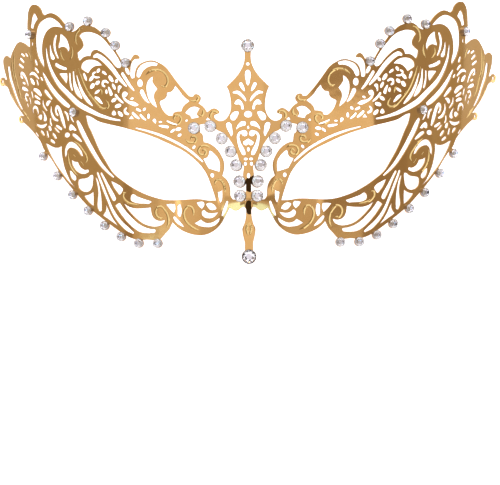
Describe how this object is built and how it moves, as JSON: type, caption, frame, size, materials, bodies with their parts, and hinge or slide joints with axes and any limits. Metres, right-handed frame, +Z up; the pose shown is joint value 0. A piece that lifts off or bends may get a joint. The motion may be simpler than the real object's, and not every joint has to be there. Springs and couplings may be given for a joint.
{
  "type": "half mask",
  "caption": "Thin metal half mask of cut scroll openwork, bent to the face, with two almond eye openings, a pointed middle tower, a nose stem and clear stones on round tabs.",
  "frame": {"origin": "middle of the underside of the bounding box, with the mask lying on its two ribbon eyelets and its lower rim, hollow side down", "axes": "+X to the wearer's left hand along the width, +Y from the nose stem to the tower as seen from above, +Z up. Left and right in the names are as seen from the front, so left is at -X"},
  "size_m": [0.2028, 0.1068, 0.0514],
  "materials": {
    "gold_metal": "polished gold-coloured plating",
    "clear_stone": "clear cut stone with a foil back"
  },
  "bodies": {
    "root": {"filigree_plate": "gold_metal", "crown_stone": "clear_stone", "drop_stone": "clear_stone", "crest_stone_left_1": "clear_stone", "crest_stone_right_1": "clear_stone", "crest_stone_left_2": "clear_stone", "crest_stone_right_2": "clear_stone", "crest_stone_left_3": "clear_stone", "crest_stone_right_3": "clear_stone", "crest_stone_left_4": "clear_stone", "crest_stone_right_4": "clear_stone", "crest_stone_left_5": "clear_stone", "crest_stone_right_5": "clear_stone", "crest_stone_left_6": "clear_stone", "crest_stone_right_6": "clear_stone", "crest_stone_left_7": "clear_stone", "crest_stone_right_7": "clear_stone", "brow_stone_left_1": "clear_stone", "brow_stone_right_1": "clear_stone", "brow_stone_left_2": "clear_stone", "brow_stone_right_2": "clear_stone", "brow_stone_left_3": "clear_stone", "brow_stone_right_3": "clear_stone", "brow_stone_left_4": "clear_stone", "brow_stone_right_4": "clear_stone", "brow_stone_left_5": "clear_stone", "brow_stone_right_5": "clear_stone", "bridge_stone_left_1": "clear_stone", "bridge_stone_right_1": "clear_stone", "bridge_stone_left_2": "clear_stone", "bridge_stone_right_2": "clear_stone", "rim_stone_left_1": "clear_stone", "rim_stone_right_1": "clear_stone", "rim_stone_left_2": "clear_stone", "rim_stone_right_2": "clear_stone", "rim_stone_left_3": "clear_stone", "rim_stone_right_3": "clear_stone", "rim_stone_left_4": "clear_stone", "rim_stone_right_4": "clear_stone", "rim_stone_left_5": "clear_stone", "rim_stone_right_5": "clear_stone", "rim_stone_left_6": "clear_stone", "rim_stone_right_6": "clear_stone", "rim_stone_left_7": "clear_stone", "rim_stone_right_7": "clear_stone", "rim_stone_left_8": "clear_stone", "rim_stone_right_8": "clear_stone"}
  },
  "joints": []
}
